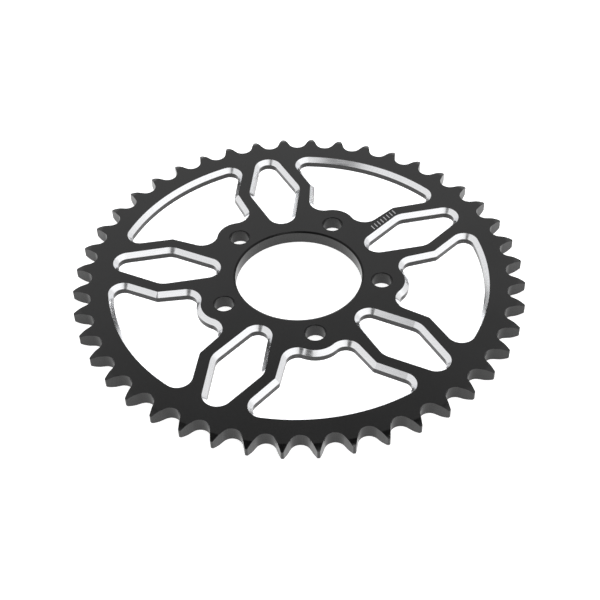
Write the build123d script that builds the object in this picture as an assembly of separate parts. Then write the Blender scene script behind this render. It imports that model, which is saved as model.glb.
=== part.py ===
from build123d import *
import math
import os

# A flat rear chain sprocket for a light motorcycle: one machined aluminium plate.
# Frame: the origin is the bore axis on the hub-side face, +Z is the axis of rotation,
# and one bolt hole and one tooth lie on +X. Millimetres.

# Chain and teeth.
TOOTH_COUNT = 44
CHAIN_PITCH = 12.7
CHAIN_INNER_WIDTH = 6.35
ROLLER_DIAMETER = 7.77
SEAT_RADIUS = 0.505 * ROLLER_DIAMETER + 0.069 * ROLLER_DIAMETER ** (1 / 3)
TIP_RADIUS = 92.4
TIP_FLAT_WIDTH = 0.3
TIP_CORNER_RADIUS = 0.5

# The crowned bevel on both sides of the teeth, which guides the chain's plates on.
BEVEL_START_RADIUS = 89.2
BEVEL_START_SLOPE = 10.5
BEVEL_CROWN_RADIUS = 11.3

# Plate.
PLATE_THICKNESS = 0.93 * CHAIN_INNER_WIDTH
BORE_RADIUS = 26.0
BORE_CHAMFER_WIDTH = 0.8

# Carrier bolts.
BOLT_COUNT = 5
BOLT_CIRCLE_DIAMETER = 68.4
BOLT_HOLE_RADIUS = 4.1
BOLT_HOLE_CHAMFER_WIDTH = 0.35
HOLE_CHAMFER_SLOPE = 30.0

# Window edges: the outlines below are the window's edge on the plate's face, and the wall
# stands this much further in, behind a chamfer on each face.
WINDOW_CHAMFER = 1.8

# Six-sided windows, one on each axis halfway between two bolt holes.
HEX_CENTRE_RADIUS = 55.05
HEX_HALF_LENGTH = 22.6
HEX_END_RADIUS = 6.0
HEX_HALF_WIDTH = 11.1
HEX_SIDE_RADIUS = 8.0

# Fan-shaped windows, one outside each bolt hole.
FAN_OUTER_RADIUS = 77.85
FAN_CORNER_RADIUS = 5.8
FAN_CORNER_ANGLE = 21.5
FAN_KNEE_ALONG = 54.3
FAN_KNEE_ACROSS = 20.0
FAN_KNEE_RADIUS = 0.4
FAN_FOOT_RADIUS = 6.45
FAN_FOOT_ANGLE = 36.9
BOLT_BOSS_RADIUS = 9.4

PITCH_RADIUS = CHAIN_PITCH / (2 * math.sin(math.pi / TOOTH_COUNT))
BOLT_CIRCLE_RADIUS = BOLT_CIRCLE_DIAMETER / 2
CUT_MARGIN = 1.0
TOUCHING = 1e-3


def polar(radius, degrees):
    """The point at a radius and an angle about the origin."""
    turn = math.radians(degrees)
    return Vector(radius * math.cos(turn), radius * math.sin(turn))


def outline(circles):
    """A closed face whose edge wraps round circles in turn, joined by their tangent lines.

    Each circle is (centre, radius): the edge runs anticlockwise round a positive radius and
    clockwise round a negative one. Circles that already touch are joined with no line.
    """
    joints = []
    for (centre, radius), (next_centre, next_radius) in zip(circles, circles[1:] + circles[:1]):
        gap = next_centre - centre
        rise = next_radius - radius
        run = math.sqrt(max(gap.length**2 - rise**2, 0.0))
        heading = math.atan2(gap.Y, gap.X) - math.atan2(rise, run)
        to_left = Vector(-math.sin(heading), math.cos(heading))
        leaves = centre - to_left * radius
        arrives = next_centre - to_left * next_radius
        if (arrives - leaves).length < TOUCHING:
            arrives = leaves
        joints.append((leaves, arrives, heading))
    edges = []
    for index, (centre, radius) in enumerate(circles):
        arc_start, heading_in = joints[index - 1][1:]
        arc_end, line_end, heading_out = joints[index]
        turn = (heading_out - heading_in) % (2 * math.pi)
        if radius < 0:
            turn -= 2 * math.pi
        middle = heading_in + turn / 2
        arc_middle = centre - Vector(-math.sin(middle), math.cos(middle)) * radius
        edges.append(ThreePointArc(arc_start, arc_middle, arc_end))
        if line_end != arc_end:
            edges.append(Line(arc_end, line_end))
    return make_face(edges)


def tooth_outline():
    """Every roller seat joined to its neighbours by a tooth with straight flanks."""
    circles = []
    tip_centre_radius = TIP_RADIUS - TIP_CORNER_RADIUS
    half_flat_angle = math.degrees(TIP_FLAT_WIDTH / 2 / tip_centre_radius)
    for index in range(TOOTH_COUNT):
        tooth_angle = 360 * index / TOOTH_COUNT
        gap_angle = tooth_angle + 180 / TOOTH_COUNT
        circles.append((polar(tip_centre_radius, tooth_angle - half_flat_angle), TIP_CORNER_RADIUS))
        circles.append((polar(tip_centre_radius, tooth_angle + half_flat_angle), TIP_CORNER_RADIUS))
        circles.append((polar(PITCH_RADIUS, gap_angle), -SEAT_RADIUS))
    return outline(circles)


def hex_outline(inset):
    """The six-sided window on +X, with its wall moved in by inset."""
    ends = HEX_HALF_LENGTH - HEX_END_RADIUS
    sides = HEX_HALF_WIDTH - HEX_SIDE_RADIUS
    return outline([
        (Vector(HEX_CENTRE_RADIUS + ends, 0), HEX_END_RADIUS - inset),
        (Vector(HEX_CENTRE_RADIUS, sides), HEX_SIDE_RADIUS - inset),
        (Vector(HEX_CENTRE_RADIUS - ends, 0), HEX_END_RADIUS - inset),
        (Vector(HEX_CENTRE_RADIUS, -sides), HEX_SIDE_RADIUS - inset),
    ])


def fan_outline(inset):
    """The fan-shaped window outside the bolt hole on +X, with its wall moved in by inset."""
    bolt = Vector(BOLT_CIRCLE_RADIUS, 0)
    foot = bolt + polar(BOLT_BOSS_RADIUS + FAN_FOOT_RADIUS, FAN_FOOT_ANGLE)
    knee = Vector(FAN_KNEE_ALONG, FAN_KNEE_ACROSS)
    corner = polar(FAN_OUTER_RADIUS - FAN_CORNER_RADIUS, FAN_CORNER_ANGLE)
    one_side = [
        (corner, FAN_CORNER_RADIUS - inset),
        (knee, -FAN_KNEE_RADIUS - inset),
        (foot, FAN_FOOT_RADIUS - inset),
    ]
    other_side = [(Vector(centre.X, -centre.Y), radius) for centre, radius in reversed(one_side)]
    rim = [(Vector(0, 0), FAN_OUTER_RADIUS - inset)]
    boss = [(bolt, -BOLT_BOSS_RADIUS - inset)]
    return outline(rim + one_side + boss + other_side)


def through(face):
    """A face turned into a cutter that passes both faces of the plate."""
    return Pos(0, 0, -CUT_MARGIN) * extrude(face, PLATE_THICKNESS + 2 * CUT_MARGIN)


def window_rims(plate):
    """The windows' edges on both faces, before the bore and the bolt holes are cut."""
    rims = []
    for height in (0, PLATE_THICKNESS):
        flat = plate.edges().filter_by_position(Axis.Z, height - TOUCHING, height + TOUCHING)
        rims += [edge for edge in flat if math.hypot((edge @ 0.5).X, (edge @ 0.5).Y) < FAN_OUTER_RADIUS]
    return rims


def hole_chamfer(radius, width):
    """A cutter for the shallow chamfer round a hole on the axis, on both faces."""
    depth = width * math.tan(math.radians(HOLE_CHAMFER_SLOPE))
    cone = Cone(radius, radius + 2 * width, 2 * depth, align=(Align.CENTER, Align.CENTER, Align.MIN))
    upper = Pos(0, 0, PLATE_THICKNESS - depth) * cone
    lower = Pos(0, 0, depth) * Rot(180, 0, 0) * cone
    return upper, lower


def bevel_point(slope):
    """Where the bevel's crown has this slope, as (distance from the axis, depth below the face)."""
    start = math.radians(BEVEL_START_SLOPE)
    outward = BEVEL_CROWN_RADIUS * (math.sin(slope) - math.sin(start))
    depth = BEVEL_CROWN_RADIUS * (math.cos(start) - math.cos(slope))
    return BEVEL_START_RADIUS + outward, depth


def blank():
    """The turned disc, with a crowned bevel on both faces where the teeth will be."""
    start = math.radians(BEVEL_START_SLOPE)
    rim_reach = TIP_RADIUS + CUT_MARGIN - BEVEL_START_RADIUS
    end = math.asin(rim_reach / BEVEL_CROWN_RADIUS + math.sin(start))
    lower = [Vector(radius, 0, depth) for radius, depth in map(bevel_point, (start, (start + end) / 2, end))]
    upper = [Vector(point.X, 0, PLATE_THICKNESS - point.Z) for point in reversed(lower)]
    section = make_face([
        Line((0, 0, 0), lower[0]),
        ThreePointArc(*lower),
        Line(lower[-1], upper[0]),
        ThreePointArc(*upper),
        Line(upper[-1], (0, 0, PLATE_THICKNESS)),
        Line((0, 0, PLATE_THICKNESS), (0, 0, 0)),
    ])
    return revolve(section, Axis.Z)


def sprocket_plate():
    """The whole sprocket, cut from its blank."""
    plate = extrude(tooth_outline(), PLATE_THICKNESS) & blank()
    for index in range(BOLT_COUNT):
        bolt_angle = 360 * index / BOLT_COUNT
        plate -= Rot(0, 0, bolt_angle) * through(fan_outline(WINDOW_CHAMFER))
        plate -= Rot(0, 0, bolt_angle + 180 / BOLT_COUNT) * through(hex_outline(WINDOW_CHAMFER))
    plate = chamfer(window_rims(plate), WINDOW_CHAMFER)

    bolt_places = PolarLocations(BOLT_CIRCLE_RADIUS, BOLT_COUNT)
    plate -= through(Circle(BORE_RADIUS))
    plate -= through(Sketch() + bolt_places * Circle(BOLT_HOLE_RADIUS))
    for cutter in hole_chamfer(BORE_RADIUS, BORE_CHAMFER_WIDTH):
        plate -= cutter
    for cutter in hole_chamfer(BOLT_HOLE_RADIUS, BOLT_HOLE_CHAMFER_WIDTH):
        plate -= bolt_places * cutter
    return plate


os.makedirs("parts", exist_ok=True)
export_step(sprocket_plate(), "parts/sprocket_plate.step")
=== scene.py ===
"""A black anodised rear chain sprocket with bright cut window chamfers, on a pale studio floor.

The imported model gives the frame, the thickness and the outside size. The plate's visible mesh
is wrapped round the same circles as the CAD outlines, so that its curves are smooth and its
chamfers can have a finish of their own. The plate's and the camera's lengths are in millimetres
until they are used, and the studio's and the materials' are in metres.
"""

import math
from itertools import groupby

import bpy
from mathutils import Matrix, Vector, geometry


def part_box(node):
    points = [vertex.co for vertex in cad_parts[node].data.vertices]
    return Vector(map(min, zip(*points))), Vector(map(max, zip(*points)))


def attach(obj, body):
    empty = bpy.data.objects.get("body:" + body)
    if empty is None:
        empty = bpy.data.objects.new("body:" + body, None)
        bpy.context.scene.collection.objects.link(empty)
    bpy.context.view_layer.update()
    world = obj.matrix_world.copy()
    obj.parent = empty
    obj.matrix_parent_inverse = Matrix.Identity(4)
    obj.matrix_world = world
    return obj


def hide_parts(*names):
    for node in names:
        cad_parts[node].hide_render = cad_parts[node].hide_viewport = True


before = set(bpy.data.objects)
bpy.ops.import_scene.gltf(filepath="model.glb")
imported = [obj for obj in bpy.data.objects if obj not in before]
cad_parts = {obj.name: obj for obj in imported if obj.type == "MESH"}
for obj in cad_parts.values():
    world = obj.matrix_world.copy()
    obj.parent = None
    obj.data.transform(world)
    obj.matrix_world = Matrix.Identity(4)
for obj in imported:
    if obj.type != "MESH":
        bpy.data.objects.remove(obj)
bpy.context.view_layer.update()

MM = 0.001
TOUCHING = 1e-3
PLATE_LOW, PLATE_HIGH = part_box("sprocket_plate")

# Chain and teeth.
TOOTH_COUNT = 44
CHAIN_PITCH = 12.7
ROLLER_DIAMETER = 7.77
SEAT_RADIUS = 0.505 * ROLLER_DIAMETER + 0.069 * ROLLER_DIAMETER ** (1 / 3)
PITCH_RADIUS = CHAIN_PITCH / (2 * math.sin(math.pi / TOOTH_COUNT))
TIP_RADIUS = PLATE_HIGH.x / MM
TIP_FLAT_WIDTH = 0.3
TIP_CORNER_RADIUS = 0.5
TOOTH_EDGE_RADIUS = 0.12
BEVEL_STEPS = 4
BEVEL_START_RADIUS = 89.2
BEVEL_START_SLOPE = math.radians(10.5)
BEVEL_CROWN_RADIUS = 11.3

# Plate, bore and bolt holes.
THICKNESS = (PLATE_HIGH.z - PLATE_LOW.z) / MM
BORE_RADIUS = 26.0
BORE_CHAMFER_WIDTH = 0.8
HOLE_CHAMFER_SLOPE = math.radians(30)
BOLT_COUNT = 5
BOLT_CIRCLE_RADIUS = 34.2
BOLT_HOLE_RADIUS = 4.1
BOLT_HOLE_CHAMFER_WIDTH = 0.35

# Windows.
WINDOW_CHAMFER = 1.8
WINDOW_CHAMFER_SLOPE = math.radians(45)
HEX_CENTRE_RADIUS = 55.05
HEX_HALF_LENGTH = 22.6
HEX_END_RADIUS = 6.0
HEX_HALF_WIDTH = 11.1
HEX_SIDE_RADIUS = 8.0
FAN_OUTER_RADIUS = 77.85
FAN_CORNER_RADIUS = 5.8
FAN_CORNER_ANGLE = 21.5
FAN_KNEE = Vector((54.3, 20.0))
FAN_KNEE_RADIUS = 0.4
FAN_FOOT_RADIUS = 6.45
FAN_FOOT_ANGLE = 36.9
BOLT_BOSS_RADIUS = 9.4

# How finely the curves are cut, in radians, and round the bore and the bolt holes in steps.
WINDOW_ARC_STEP = math.radians(3)
TOOTH_ARC_STEP = math.radians(9)
BORE_STEPS = 180
BOLT_HOLE_STEPS = 64

# Points that agree to this many decimals of a millimetre are one vertex. The flat face's
# triangulation joins points that are this close, and keeps only what is inside its outlines.
WELD_DECIMALS = 3
FLAT_FACE_WELD = 1e-5
INSIDE_OUTLINES_ONLY = 1

# A row of plain strokes beside the window on -X, where such a part carries its designation.
MARK_STROKES = 8
MARK_START = 5.2
MARK_PITCH = 1.95
MARK_HEIGHT = 2.5
MARK_LEAN = 0.25
MARK_STROKE_WIDTH = 0.5
MARK_CLEARANCE = 0.9

# Camera: its turn about the centre of the plate's upper face, then its place in its own axes.
CAMERA_AZIMUTH = 152.03
CAMERA_ELEVATION = 44.36
CAMERA_ROLL = -1.57
CAMERA_LENS = 75.26
CAMERA_OFFSET = Vector((0.5735, -10.6047, 514.70))
CAMERA_CLIP_START = 10

# Studio, in metres apart from the millimetres of the floor's clearance. Each patch of the tent is
# (azimuth, elevation, radius, softness, level), with its angles in degrees. The azimuths are
# fixed directions, written from the side that the camera is on.
FLOOR_SIZE = 6.0
FLOOR_CLEARANCE = 0.05
FLOOR_GLOW = 0.75
TENT_LEVEL = 0.85
TENT_PATCHES = (
    (CAMERA_AZIMUTH + 60, 45, 25, 25, 1.1),
    (CAMERA_AZIMUTH + 180, 64, 10, 14, 0.33),
    (CAMERA_AZIMUTH + 180, 88, 24, 6, 0.04),
    (CAMERA_AZIMUTH + 42, 73, 4, 3, 6.0),
    (CAMERA_AZIMUTH - 29, 42, 8, 6, 0.12),
)
OVERHEAD_HEIGHT = 1.5
OVERHEAD_SIZE = 2.0
OVERHEAD_POWER = 6.0


# ---------------------------------------------------------------- outlines

def polar(radius, degrees):
    """The point at a radius and an angle about the origin."""
    turn = math.radians(degrees)
    return Vector((radius * math.cos(turn), radius * math.sin(turn)))


def to_left(heading):
    """The unit vector to the left of a heading in radians."""
    return Vector((-math.sin(heading), math.cos(heading)))


def tangent(circle, next_circle):
    """The heading and length of the straight that leaves one circle and meets the next."""
    gap = next_circle[0] - circle[0]
    rise = next_circle[1] - circle[1]
    run = math.sqrt(max(gap.length_squared - rise**2, 0.0))
    return math.atan2(gap.y, gap.x) - math.atan2(rise, run), run


def wrap(circles, inset, step, cuts=((),)):
    """[(point, left normal)] of an outline that wraps round circles in turn, moved left by inset.

    Each circle is (centre, radius): the outline runs anticlockwise round a positive radius and
    clockwise round a negative one. Every inset of the same circles has the same points in the
    same order, so two of them make a strip. cuts are shares of the way along each straight,
    used in turn.
    """
    straights = [tangent(*pair) for pair in zip(circles, circles[1:] + circles[:1])]
    samples = []
    for index, (centre, radius) in enumerate(circles):
        heading_in, run_in = straights[index - 1]
        heading_out, run_out = straights[index]
        turn = (heading_out - heading_in) % (2 * math.pi)
        if radius < 0:
            turn -= 2 * math.pi
        arc_steps = max(1, math.ceil(abs(turn) / step))
        first = 1 if run_in < TOUCHING else 0
        for number in range(first, arc_steps + 1):
            left = to_left(heading_in + turn * number / arc_steps)
            samples.append((centre - left * (radius - inset), left))
        start, left = samples[-1]
        along = Vector((left.y, -left.x)) * run_out
        samples += [(start + along * cut, left) for cut in cuts[index % len(cuts)]]
    return samples


def round_hole(centre, radius, steps):
    """[(point, left normal)] of a circle, anticlockwise."""
    lefts = [-polar(1, 360 * number / steps) for number in range(steps)]
    return [(centre - left * radius, left) for left in lefts]


def turned(circles, degrees):
    """Circles turned about the origin."""
    turn = Matrix.Rotation(math.radians(degrees), 2)
    return [(turn @ centre, radius) for centre, radius in circles]


def hex_circles():
    """The six-sided window on +X."""
    ends = HEX_HALF_LENGTH - HEX_END_RADIUS
    sides = HEX_HALF_WIDTH - HEX_SIDE_RADIUS
    return [
        (Vector((HEX_CENTRE_RADIUS + ends, 0)), HEX_END_RADIUS),
        (Vector((HEX_CENTRE_RADIUS, sides)), HEX_SIDE_RADIUS),
        (Vector((HEX_CENTRE_RADIUS - ends, 0)), HEX_END_RADIUS),
        (Vector((HEX_CENTRE_RADIUS, -sides)), HEX_SIDE_RADIUS),
    ]


def fan_circles():
    """The fan-shaped window outside the bolt hole on +X."""
    bolt = Vector((BOLT_CIRCLE_RADIUS, 0))
    one_side = [
        (polar(FAN_OUTER_RADIUS - FAN_CORNER_RADIUS, FAN_CORNER_ANGLE), FAN_CORNER_RADIUS),
        (FAN_KNEE, -FAN_KNEE_RADIUS),
        (bolt + polar(BOLT_BOSS_RADIUS + FAN_FOOT_RADIUS, FAN_FOOT_ANGLE), FAN_FOOT_RADIUS),
    ]
    other_side = [(Vector((centre.x, -centre.y)), radius) for centre, radius in reversed(one_side)]
    rim = [(Vector((0, 0)), FAN_OUTER_RADIUS)]
    return rim + one_side + [(bolt, -BOLT_BOSS_RADIUS)] + other_side


def tooth_circles():
    """The roller seat before every tooth, and the two corners of the tooth's tip."""
    circles = []
    tip_centre = TIP_RADIUS - TIP_CORNER_RADIUS
    half_flat = math.degrees(TIP_FLAT_WIDTH / 2 / tip_centre)
    for index in range(TOOTH_COUNT):
        tooth_angle = 360 * index / TOOTH_COUNT
        circles.append((polar(PITCH_RADIUS, tooth_angle - 180 / TOOTH_COUNT), -SEAT_RADIUS))
        circles.append((polar(tip_centre, tooth_angle - half_flat), TIP_CORNER_RADIUS))
        circles.append((polar(tip_centre, tooth_angle + half_flat), TIP_CORNER_RADIUS))
    return circles


# ---------------------------------------------------------------- the plate's mesh

FACE, WALL, SHADED_EDGE, BRIGHT, MARK = range(5)
HALF = THICKNESS / 2
UP = Vector((0, 0, 1))


def crown(point):
    """The height above the middle plane and the normal of the top face at a point."""
    radius = point.length
    if radius < BEVEL_START_RADIUS - TOUCHING:
        return HALF, UP
    sine = (radius - BEVEL_START_RADIUS) / BEVEL_CROWN_RADIUS + math.sin(BEVEL_START_SLOPE)
    cosine = math.sqrt(1 - sine**2)
    drop = BEVEL_CROWN_RADIUS * (math.cos(BEVEL_START_SLOPE) - cosine)
    return HALF - drop, Vector((*(point / radius * sine), cosine))


class Shell:
    """A mesh gathered face by face, with a normal and a tool path position at every corner.

    A corner is (point, normal, path), where path is how far along and across the cutter went.
    """

    def __init__(self):
        self.points = []
        self.places = {}
        self.faces = []
        self.corners = []
        self.finishes = []

    def vertex(self, point):
        """The index of the vertex at a point, made once for each place."""
        place = tuple(round(value, WELD_DECIMALS) for value in point)
        if place not in self.places:
            self.places[place] = len(self.points)
            self.points.append(point)
        return self.places[place]

    def face(self, corners, finish):
        """A face with its corners anticlockwise as seen from outside."""
        indices = [self.vertex(point) for point, _, _ in corners]
        kept = [n for n, index in enumerate(indices) if index != indices[n - 1]]
        if len(kept) > 2:
            self.faces.append([indices[n] for n in kept])
            self.corners += [corners[n] for n in kept]
            self.finishes.append(finish)

    def strip(self, left_ring, right_ring, finish):
        """Quads between two rings of corners, seen from outside as one ring left of the other."""
        for n in range(len(left_ring) - 1):
            self.face([left_ring[n], right_ring[n], right_ring[n + 1], left_ring[n + 1]], finish)

    def mirror(self):
        """Adds the same faces below the middle plane, where there is no mark."""
        def below(vector):
            return Vector((vector.x, vector.y, -vector.z))
        used = 0
        for face, finish in list(zip(self.faces, self.finishes)):
            corners = self.corners[used:used + len(face)]
            used += len(face)
            flipped = [(below(point), below(normal), path) for point, normal, path in corners]
            self.face(flipped[::-1], FACE if finish == MARK else finish)

    def piece(self, name, materials):
        """The finished object, with its lower face on the frame's zero plane."""
        lift = UP * HALF
        mesh = bpy.data.meshes.new(name)
        mesh.from_pydata([(point + lift) * MM for point in self.points], [], self.faces)
        for material in materials:
            mesh.materials.append(material)
        mesh.polygons.foreach_set("material_index", self.finishes)
        mesh.polygons.foreach_set("use_smooth", [True] * len(self.faces))
        paths = [value * MM for _, _, path in self.corners for value in path]
        mesh.uv_layers.new(name="toolpath").data.foreach_set("uv", paths)
        mesh.normals_split_custom_set([tuple(normal) for _, normal, _ in self.corners])
        made = bpy.data.objects.new(name, mesh)
        bpy.context.scene.collection.objects.link(made)
        return made


def ring(samples, heights, tilt):
    """A closed ring of corners. tilt turns each normal up from the sample's own, in radians."""
    corners, along = [], 0.0
    last = samples[-1][0]
    for (point, out), height in zip(samples, heights):
        if corners:
            along += (point - last).length
        last = point
        normal = Vector((*(out * math.cos(tilt)), math.sin(tilt)))
        corners.append((Vector((*point, height)), normal, (along, height)))
    along += (samples[0][0] - last).length
    return corners + [(corners[0][0], corners[0][1], (along, heights[0]))]


def opening(shell, outline_at, chamfer, slope, chamfer_finish):
    """A chamfered hole's surfaces above the middle plane. Returns its edge on the face.

    outline_at gives the hole's samples, anticlockwise round the hole, at an inset. chamfer is
    the chamfer's width on the face and slope its fall from the face, in radians.
    """
    wall_height = HALF - chamfer * math.tan(slope)
    at_face, at_wall = outline_at(0), outline_at(chamfer)
    count = len(at_face)
    face_edge = ring(at_face, [HALF] * count, math.pi / 2 - slope)
    chamfer_edge = ring(at_wall, [wall_height] * count, math.pi / 2 - slope)
    wall_top = ring(at_wall, [wall_height] * count, 0)
    wall_middle = ring(at_wall, [0] * count, 0)
    shell.strip(chamfer_edge, face_edge, chamfer_finish)
    shell.strip(wall_middle, wall_top, WALL)
    return [point for point, _ in at_face]


def openings(shell):
    """Every hole in the plate. Returns their edges on the face."""
    edges = []
    for index in range(BOLT_COUNT):
        bolt_angle = 360 * index / BOLT_COUNT
        bolt_centre = polar(BOLT_CIRCLE_RADIUS, bolt_angle)
        windows = (
            turned(fan_circles(), bolt_angle),
            turned(hex_circles(), bolt_angle + 180 / BOLT_COUNT),
        )
        for circles in windows:
            def window_at(inset, circles=circles):
                return wrap(circles, inset, WINDOW_ARC_STEP)
            edges.append(opening(shell, window_at, WINDOW_CHAMFER, WINDOW_CHAMFER_SLOPE, BRIGHT))

        def bolt_hole_at(inset, centre=bolt_centre):
            return round_hole(centre, BOLT_HOLE_RADIUS + BOLT_HOLE_CHAMFER_WIDTH - inset, BOLT_HOLE_STEPS)
        edges.append(opening(shell, bolt_hole_at, BOLT_HOLE_CHAMFER_WIDTH, HOLE_CHAMFER_SLOPE, SHADED_EDGE))

    def bore_at(inset):
        return round_hole(Vector((0, 0)), BORE_RADIUS + BORE_CHAMFER_WIDTH - inset, BORE_STEPS)
    edges.append(opening(shell, bore_at, BORE_CHAMFER_WIDTH, HOLE_CHAMFER_SLOPE, SHADED_EDGE))
    return edges


def flank_cuts(circles, inset):
    """How far along a flank, from its seat to its tip, the bevel starts and each step of it."""
    heading, run = tangent(circles[0], circles[1])
    left = to_left(heading)
    along = Vector((left.y, -left.x))
    start = circles[0][0] - left * (circles[0][1] - inset)
    inward = start.dot(along)
    end_radius = (start + along * run).length
    cuts = []
    for number in range(BEVEL_STEPS):
        radius = BEVEL_START_RADIUS + (end_radius - BEVEL_START_RADIUS) * number / BEVEL_STEPS
        reach = math.sqrt(inward**2 - start.length_squared + radius**2) - inward
        cuts.append(reach / run)
    return cuts


def on_bevel(corner):
    """Whether a corner is on the bevel or its inner edge."""
    return corner[0].xy.length > BEVEL_START_RADIUS - TOUCHING


def teeth(shell):
    """The teeth's surfaces above the middle plane. Returns the outer edge of the flat face."""
    circles = tooth_circles()
    rising = flank_cuts(circles, TOOTH_EDGE_RADIUS)
    falling = [1 - cut for cut in reversed(rising)]
    rings = []
    # The rounded edge, from where it leaves the top to where it meets the flank.
    for turn in (0, math.pi / 4, math.pi / 2):
        inset = TOOTH_EDGE_RADIUS * (1 - math.sin(turn))
        fall = TOOTH_EDGE_RADIUS * (1 - math.cos(turn))
        samples = wrap(circles, inset, TOOTH_ARC_STEP, (rising, (), falling))
        outward = [(point, -left) for point, left in samples]
        edge = ring(outward, [crown(point)[0] - fall for point, _ in samples], 0)
        rings.append([
            (point, crown(point.xy)[1] * math.cos(turn) + out * math.sin(turn), path)
            for point, out, path in edge
        ])
    middle = [(Vector((*point.xy, 0)), out, (path[0], 0)) for point, out, path in rings[-1]]
    for upper, lower in zip(rings, rings[1:] + [middle]):
        shell.strip(upper, lower, WALL)

    flat_edge = []
    for beveled, corners in groupby(rings[0][:-1], on_bevel):
        top = [(point, normal, tuple(point.xy)) for point, normal, _ in corners]
        if beveled:
            # Quads across the tooth, from its foot to its tip.
            for n in range(len(top) // 2 - 1):
                shell.face([top[n], top[n + 1], top[-n - 2], top[-n - 1]], FACE)
            top = [top[0], top[-1]]
        flat_edge += [point.xy for point, _, _ in top]
    return flat_edge


def mark_strokes():
    """A row of plain slanted strokes along one side of the window on -X, in place of lettering."""
    _, middle, inner_end, _ = turned(hex_circles(), 180)
    left = to_left(tangent(middle, inner_end)[0])
    outward = Vector((-left.y, left.x))
    row_start = inner_end[0] - left * (inner_end[1] + MARK_CLEARANCE) + outward * MARK_START
    width = outward * MARK_STROKE_WIDTH
    tall = outward * MARK_HEIGHT * MARK_LEAN - left * MARK_HEIGHT
    feet = [row_start + outward * MARK_PITCH * index for index in range(MARK_STROKES)]
    return [[foot, foot + width, foot + width + tall, foot + tall] for foot in feet]


def flat_face(shell, outer_edge, hole_edges, strokes):
    """The flat face inside its outer edge, less its holes, with the mark's strokes on it."""
    loops = [outer_edge, *hole_edges, *strokes]
    points, faces = [], []
    for loop in loops:
        faces.append(list(range(len(points), len(points) + len(loop))))
        points += loop
    first_stroke = len(loops) - len(strokes)
    made, _, triangles, _, _, sources = geometry.delaunay_2d_cdt(
        points, [], faces, INSIDE_OUTLINES_ONLY, FLAT_FACE_WELD
    )
    # source says which loops a triangle is inside, where 0 is the outer edge.
    for triangle, source in zip(triangles, sources):
        inner = [number for number in source if number > 0]
        if inner and inner[0] < first_stroke:
            continue
        corners = [(Vector((*made[n], HALF)), UP, tuple(made[n])) for n in triangle]
        shell.face(corners, MARK if inner else FACE)


def plate_piece(materials):
    """The whole sprocket plate."""
    shell = Shell()
    outer_edge = teeth(shell)
    flat_face(shell, outer_edge, openings(shell), mark_strokes())
    shell.mirror()
    return shell.piece("sprocket_plate_machined", materials)


# ---------------------------------------------------------------- materials

# Most of a noise lies between these values.
NOISE_LOW = 0.3
NOISE_HIGH = 0.7


class Recipe:
    """A node material in the making."""

    def __init__(self, name, base_color, metallic, roughness):
        self.material = bpy.data.materials.new(name)
        self.material.use_nodes = True
        self.tree = self.material.node_tree
        self.shader = self.tree.nodes["Principled BSDF"]
        self.shader.inputs["Base Color"].default_value = (*base_color, 1)
        self.shader.inputs["Metallic"].default_value = metallic
        self.shader.inputs["Roughness"].default_value = roughness

    def node(self, kind, settings=(), **links):
        """A new node. settings are its own values, links are sockets' values or other sockets."""
        node = self.tree.nodes.new(kind)
        for name, value in dict(settings).items():
            setattr(node, name, value)
        for name, value in links.items():
            socket = node.inputs[name.replace("_", " ")]
            if isinstance(value, bpy.types.NodeSocket):
                self.tree.links.new(value, socket)
            else:
                socket.default_value = value
        return node

    def place(self):
        """Places on the object, in metres."""
        return self.node("ShaderNodeTexCoord").outputs["Object"]

    def path(self, along, across):
        """Places along and across the cutter's path, stretched by these factors."""
        path = self.node("ShaderNodeUVMap", {"uv_map": "toolpath"}).outputs["UV"]
        return self.node("ShaderNodeMapping", Vector=path, Scale=(along, across, 1)).outputs["Vector"]

    def noise(self, vector, scale, detail=2.0):
        """A noise, most of it between NOISE_LOW and NOISE_HIGH."""
        node = self.node("ShaderNodeTexNoise", Vector=vector, Scale=scale, Detail=detail)
        return node.outputs["Fac"]

    def between(self, value, low, high):
        """A noise mapped to the range from low to high."""
        span = {"From_Min": NOISE_LOW, "From_Max": NOISE_HIGH, "To_Min": low, "To_Max": high}
        return self.node("ShaderNodeMapRange", Value=value, **span).outputs["Result"]

    def tint(self, value, low, high):
        """A colour between two, by a noise."""
        ramp = self.node("ShaderNodeValToRGB", Fac=value)
        ramp.color_ramp.elements[0].position = NOISE_LOW
        ramp.color_ramp.elements[1].position = NOISE_HIGH
        ramp.color_ramp.elements[0].color = (*low, 1)
        ramp.color_ramp.elements[1].color = (*high, 1)
        return ramp.outputs["Color"]

    def combined(self, operation, *values):
        """The outcome of a mathematical operation on one or two values."""
        node = self.node("ShaderNodeMath", {"operation": operation})
        for value, socket in zip(values, node.inputs):
            self.tree.links.new(value, socket)
        return node.outputs["Value"]

    def link(self, output, name):
        """Feeds one of the shader's sockets."""
        self.tree.links.new(output, self.shader.inputs[name])

    def bump(self, height, strength, distance, under=None):
        """Relief from a height, on top of the relief that is under it."""
        node = self.node("ShaderNodeBump", Height=height, Strength=strength, Distance=distance)
        if under:
            self.tree.links.new(under, node.inputs["Normal"])
        return node.outputs["Normal"]


def black_anodised():
    """Satin black anodising on a turned face: a fine even grain and slightly uneven dye."""
    recipe = Recipe("black_anodised", (0.003, 0.003, 0.003), 0.0, 0.21)
    place = recipe.place()
    patches = recipe.noise(place, 35)
    grain = recipe.noise(place, 1500, 4)
    uneven = recipe.combined("SQRT", recipe.combined("MULTIPLY", patches, grain))
    dye = recipe.tint(uneven, (0.0010, 0.0010, 0.0011), (0.0065, 0.0065, 0.0067))
    recipe.link(dye, "Base Color")
    recipe.link(recipe.between(grain, 0.16, 0.26), "Roughness")
    recipe.link(recipe.bump(grain, 0.35, 0.00002), "Normal")
    return recipe.material


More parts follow.
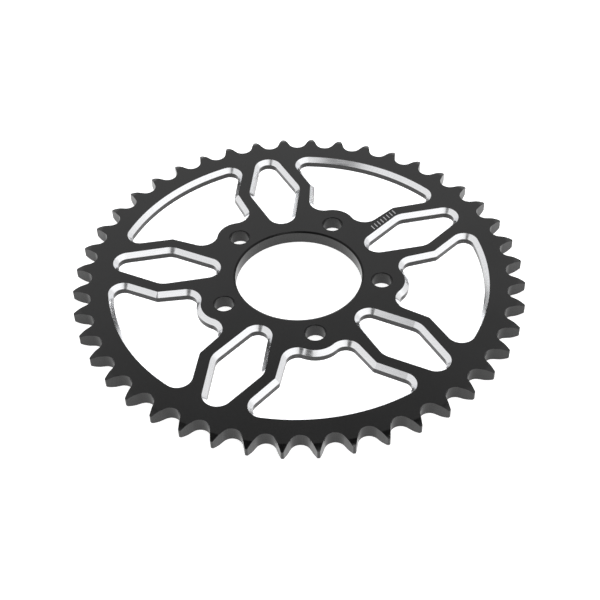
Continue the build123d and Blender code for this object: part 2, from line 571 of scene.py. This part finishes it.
def milled_black():
    """The same anodising over milled walls, with the cutter's marks up and down the wall."""
    recipe = Recipe("black_anodised_milled", (0.004, 0.004, 0.004), 0.0, 0.24)
    marks = recipe.noise(recipe.path(1, 0.06), 2400, 2)
    grain = recipe.noise(recipe.place(), 2600, 3)
    recipe.link(recipe.tint(marks, (0.003, 0.003, 0.003), (0.008, 0.008, 0.008)), "Base Color")
    recipe.link(recipe.between(marks, 0.17, 0.30), "Roughness")
    fine = recipe.bump(grain, 0.3, 0.00002)
    recipe.link(recipe.bump(marks, 0.35, 0.00003, fine), "Normal")
    return recipe.material


def shaded_edge_black():
    """The bore's and bolt holes' chamfers: a duller copy of the black anodising, painted shade that makes
    them read as dark rings.
    """
    recipe = Recipe("black_anodised_edge_painted_shade", (0.003, 0.003, 0.003), 0.0, 0.3)
    # Reflection turned well below the face's anodising: painted shade that keeps these chamfers dark.
    recipe.shader.inputs["Specular IOR Level"].default_value = 0.15
    marks = recipe.noise(recipe.path(0.05, 1), 4000, 2)
    recipe.link(recipe.tint(marks, (0.002, 0.002, 0.002), (0.005, 0.005, 0.005)), "Base Color")
    recipe.link(recipe.between(marks, 0.24, 0.36), "Roughness")
    recipe.link(recipe.bump(marks, 0.3, 0.00002), "Normal")
    return recipe.material


def bright_cut():
    """Bare aluminium where the windows' chamfers are cut after anodising: fine tool marks."""
    recipe = Recipe("bright_cut", (0.91, 0.92, 0.93), 1.0, 0.16)
    marks = recipe.noise(recipe.path(1, 0.12), 3200, 3)
    streaks = recipe.noise(recipe.path(0.05, 1), 2600, 2)
    recipe.link(recipe.tint(marks, (0.84, 0.85, 0.87), (0.94, 0.94, 0.95)), "Base Color")
    recipe.link(recipe.between(streaks, 0.13, 0.24), "Roughness")
    recipe.link(recipe.bump(marks, 0.25, 0.00002), "Normal")
    return recipe.material


def etched_mark():
    """The pale matt grey of laser marking on black anodising."""
    recipe = Recipe("etched_mark", (0.42, 0.42, 0.43), 0.0, 0.6)
    grain = recipe.noise(recipe.place(), 6000, 2)
    recipe.link(recipe.tint(grain, (0.34, 0.34, 0.35), (0.50, 0.50, 0.51)), "Base Color")
    recipe.link(recipe.bump(grain, 0.3, 0.00001), "Normal")
    return recipe.material


def pale_floor():
    """A matt white light table with a faint unevenness."""
    recipe = Recipe("pale_floor", (0.92, 0.92, 0.92), 0.0, 0.9)
    recipe.shader.inputs["Emission Color"].default_value = (1, 1, 1, 1)
    recipe.shader.inputs["Emission Strength"].default_value = FLOOR_GLOW
    cloud = recipe.noise(recipe.place(), 3)
    recipe.link(recipe.tint(cloud, (0.915, 0.915, 0.915), (0.93, 0.93, 0.93)), "Base Color")
    return recipe.material


# ---------------------------------------------------------------- the object and its floor

# In the order of FACE to MARK.
finishes = [black_anodised(), milled_black(), shaded_edge_black(), bright_cut(), etched_mark()]
plate = plate_piece(finishes)
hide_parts("sprocket_plate")
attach(plate, "root")

bpy.ops.mesh.primitive_plane_add(size=FLOOR_SIZE)
floor = bpy.context.active_object
floor.name = "studio_floor"
floor.location.z = -FLOOR_CLEARANCE * MM
floor.data.materials.append(pale_floor())


# ---------------------------------------------------------------- camera and light

camera = bpy.data.objects.new("camera", bpy.data.cameras.new("camera"))
camera.data.lens = CAMERA_LENS
camera.data.clip_start = CAMERA_CLIP_START * MM
camera.matrix_world = (
    Matrix.Translation((0, 0, THICKNESS * MM))
    @ Matrix.Rotation(math.radians(CAMERA_AZIMUTH), 4, "Z")
    @ Matrix.Rotation(math.radians(90 - CAMERA_ELEVATION), 4, "X")
    @ Matrix.Rotation(math.radians(CAMERA_ROLL), 4, "Z")
    @ Matrix.Translation(CAMERA_OFFSET * MM)
)
bpy.context.scene.collection.objects.link(camera)
bpy.context.scene.camera = camera
bpy.context.scene.view_settings.view_transform = "Standard"


def sky_direction(azimuth, elevation):
    """The unit vector towards a place on the tent, azimuth as for the camera."""
    turn, rise = math.radians(azimuth), math.radians(elevation)
    return Vector((math.sin(turn) * math.cos(rise), -math.cos(turn) * math.cos(rise), math.sin(rise)))


def white_tent():
    """The world: a white tent round the object, with darker and brighter patches."""
    world = bpy.data.worlds.new("white_tent")
    world.use_nodes = True
    tree = world.node_tree
    background = tree.nodes["Background"]
    direction = tree.nodes.new("ShaderNodeTexCoord").outputs["Generated"]
    level = None
    for azimuth, elevation, radius, softness, strength in TENT_PATCHES:
        facing = tree.nodes.new("ShaderNodeVectorMath")
        facing.operation = "DOT_PRODUCT"
        facing.inputs[1].default_value = sky_direction(azimuth, elevation)
        tree.links.new(direction, facing.inputs[0])
        patch = tree.nodes.new("ShaderNodeMapRange")
        patch.interpolation_type = "SMOOTHSTEP"
        patch.inputs["From Min"].default_value = math.cos(math.radians(radius + softness))
        patch.inputs["From Max"].default_value = math.cos(math.radians(radius))
        tree.links.new(facing.outputs["Value"], patch.inputs["Value"])
        mix = tree.nodes.new("ShaderNodeMix")
        mix.inputs["A"].default_value = TENT_LEVEL
        mix.inputs["B"].default_value = strength
        tree.links.new(patch.outputs["Result"], mix.inputs["Factor"])
        if level:
            tree.links.new(level, mix.inputs["A"])
        level = mix.outputs["Result"]
    tree.links.new(level, background.inputs["Strength"])
    background.inputs["Color"].default_value = (1, 1, 1, 1)
    bpy.context.scene.world = world


def overhead_light():
    """A broad soft light straight above, which leaves no glint on the metal."""
    light = bpy.data.lights.new("overhead", "AREA")
    light.size = OVERHEAD_SIZE
    light.energy = OVERHEAD_POWER
    lamp = bpy.data.objects.new("overhead", light)
    lamp.location.z = OVERHEAD_HEIGHT
    lamp.visible_glossy = False
    bpy.context.scene.collection.objects.link(lamp)


white_tent()
overhead_light()
